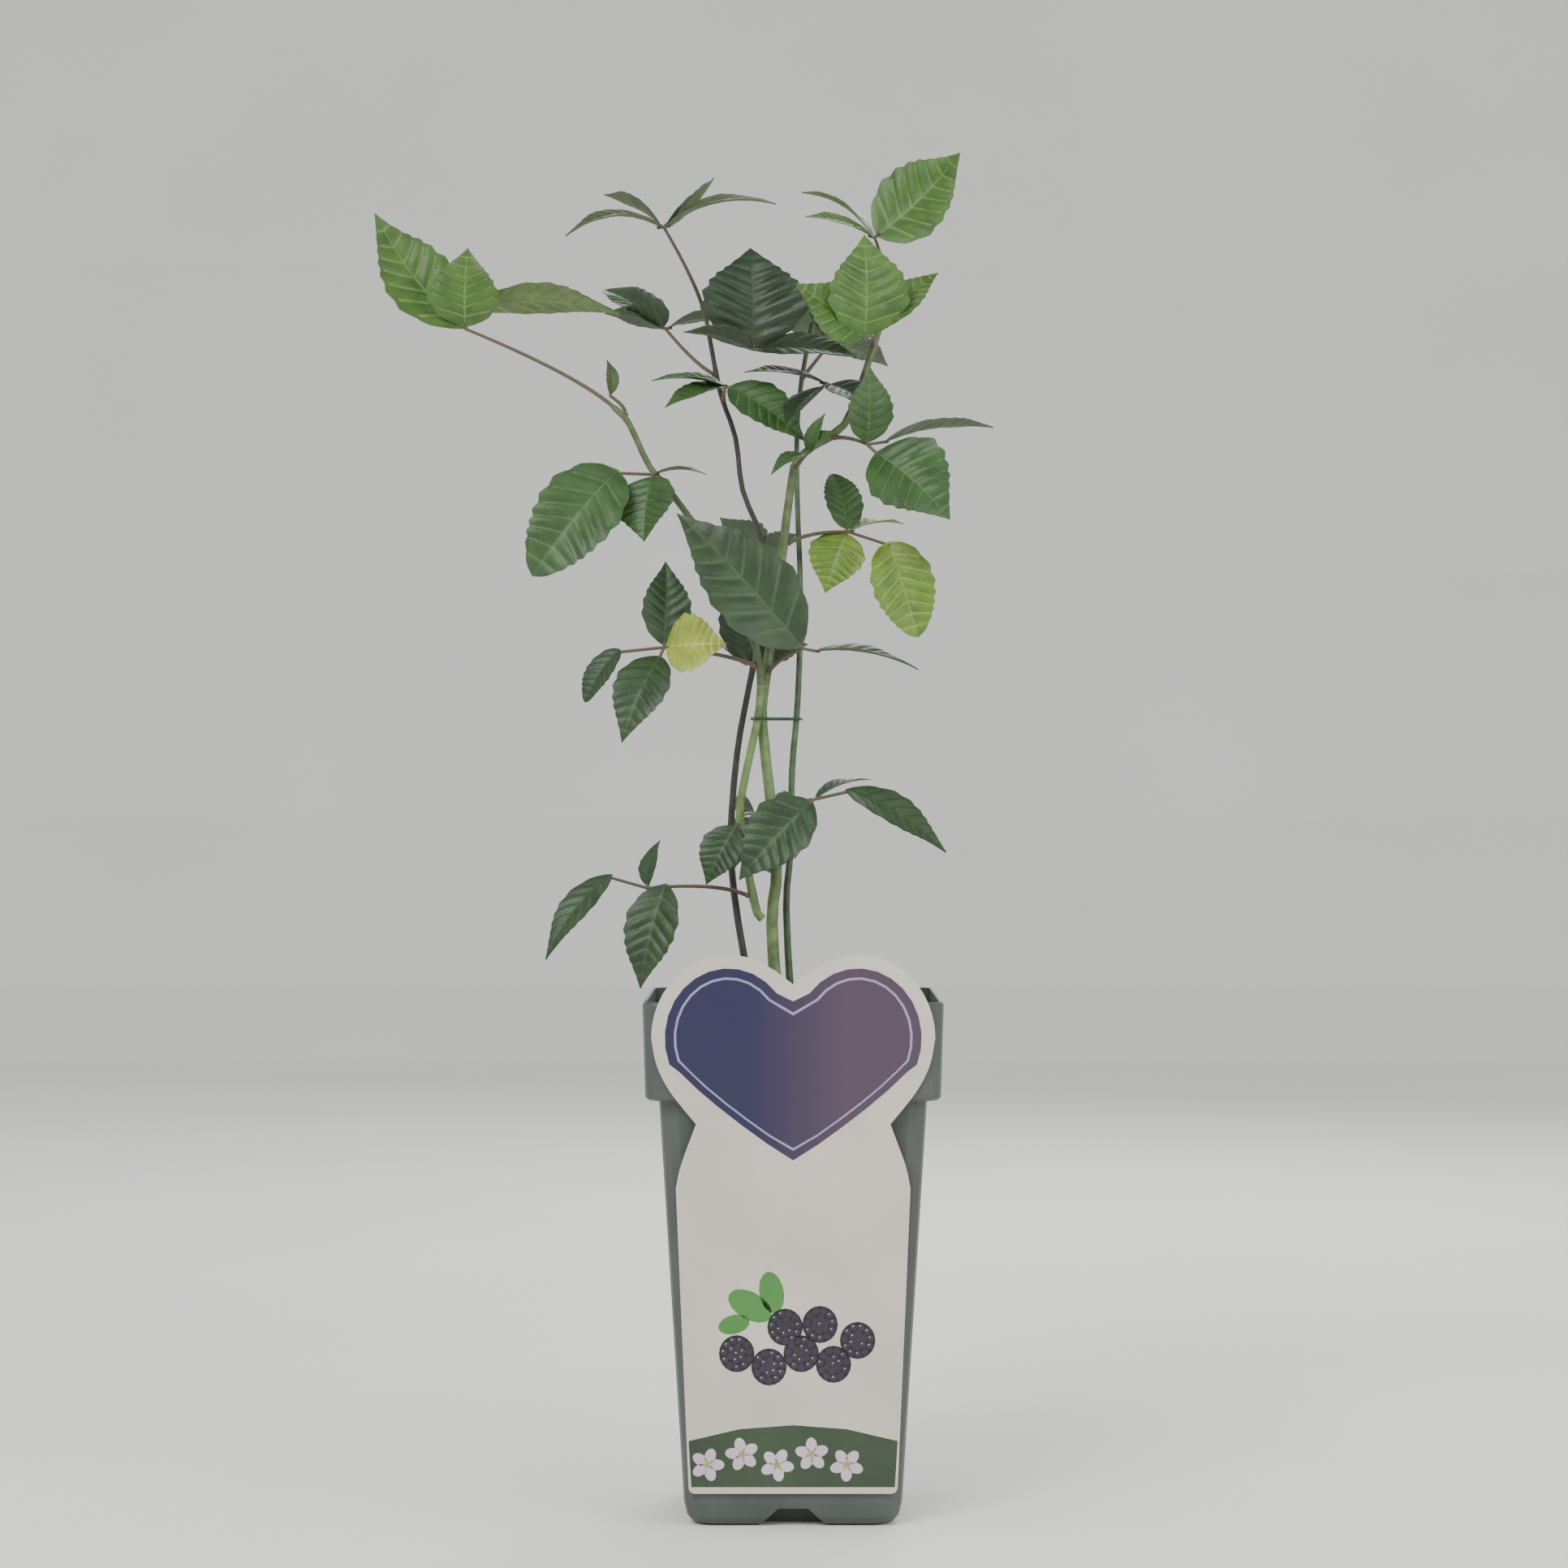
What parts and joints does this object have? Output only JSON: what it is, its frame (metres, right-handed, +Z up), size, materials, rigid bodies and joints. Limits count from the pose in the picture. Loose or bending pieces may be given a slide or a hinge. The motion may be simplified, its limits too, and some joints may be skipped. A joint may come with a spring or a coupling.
{
  "type": "potted bramble",
  "caption": "Young bramble with toothed compound leaves on tied canes, growing in a tall square nursery pot with a plain care card hooked over its rim.",
  "frame": {"origin": "centre of the flat underside of the pot", "axes": "+Z up along the plant, -Y towards the care card at the front, +X to the right seen from the front"},
  "size_m": [0.2378, 0.1287, 0.5196],
  "materials": {
    "pot": "matte grey-green moulded plastic",
    "compost": "dark crumbly compost",
    "care_card": "satin printed card",
    "tie": "plastic coated wire",
    "cane_branch": "smooth green bark",
    "cane_left": "smooth green bark",
    "cane_main": "smooth green bark",
    "cane_right": "smooth green bark",
    "leaf_back_high": "matte veined leaf",
    "leaf_back_low": "matte veined leaf",
    "leaf_back_mid": "matte veined leaf",
    "leaf_bud_left": "matte veined leaf",
    "leaf_centre": "matte veined leaf",
    "leaf_crown": "matte veined leaf",
    "leaf_dark": "matte veined leaf",
    "leaf_far_left": "matte veined leaf",
    "leaf_front": "matte veined leaf",
    "leaf_left": "matte veined leaf",
    "leaf_light": "matte veined leaf",
    "leaf_low_centre": "matte veined leaf",
    "leaf_low_left": "matte veined leaf",
    "leaf_low_right": "matte veined leaf",
    "leaf_right": "matte veined leaf",
    "leaf_right_upper": "matte veined leaf",
    "leaf_tip_buds": "matte veined leaf",
    "leaf_top": "matte veined leaf",
    "leaf_top_right": "matte veined leaf",
    "leaf_under_crown": "matte veined leaf",
    "leaf_upper_left": "matte veined leaf",
    "leaf_yellow": "matte veined leaf",
    "shoot_back": "smooth green bark",
    "shoot_centre": "smooth green bark",
    "shoot_left": "smooth green bark",
    "shoot_right": "smooth green bark"
  },
  "bodies": {
    "root": {"cane_branch": "cane_branch", "cane_left": "cane_left", "cane_main": "cane_main", "cane_right": "cane_right", "care_card": "care_card", "compost": "compost", "leaf_back_high": "leaf_back_high", "leaf_back_low": "leaf_back_low", "leaf_back_mid": "leaf_back_mid", "leaf_bud_left": "leaf_bud_left", "leaf_centre": "leaf_centre", "leaf_crown": "leaf_crown", "leaf_dark": "leaf_dark", "leaf_far_left": "leaf_far_left", "leaf_front": "leaf_front", "leaf_left": "leaf_left", "leaf_light": "leaf_light", "leaf_low_centre": "leaf_low_centre", "leaf_low_left": "leaf_low_left", "leaf_low_right": "leaf_low_right", "leaf_right": "leaf_right", "leaf_right_upper": "leaf_right_upper", "leaf_tip_buds": "leaf_tip_buds", "leaf_top": "leaf_top", "leaf_top_right": "leaf_top_right", "leaf_under_crown": "leaf_under_crown", "leaf_upper_left": "leaf_upper_left", "leaf_yellow": "leaf_yellow", "pot": "pot", "shoot_back": "shoot_back", "shoot_centre": "shoot_centre", "shoot_left": "shoot_left", "shoot_right": "shoot_right", "tie": "tie"}
  },
  "joints": []
}
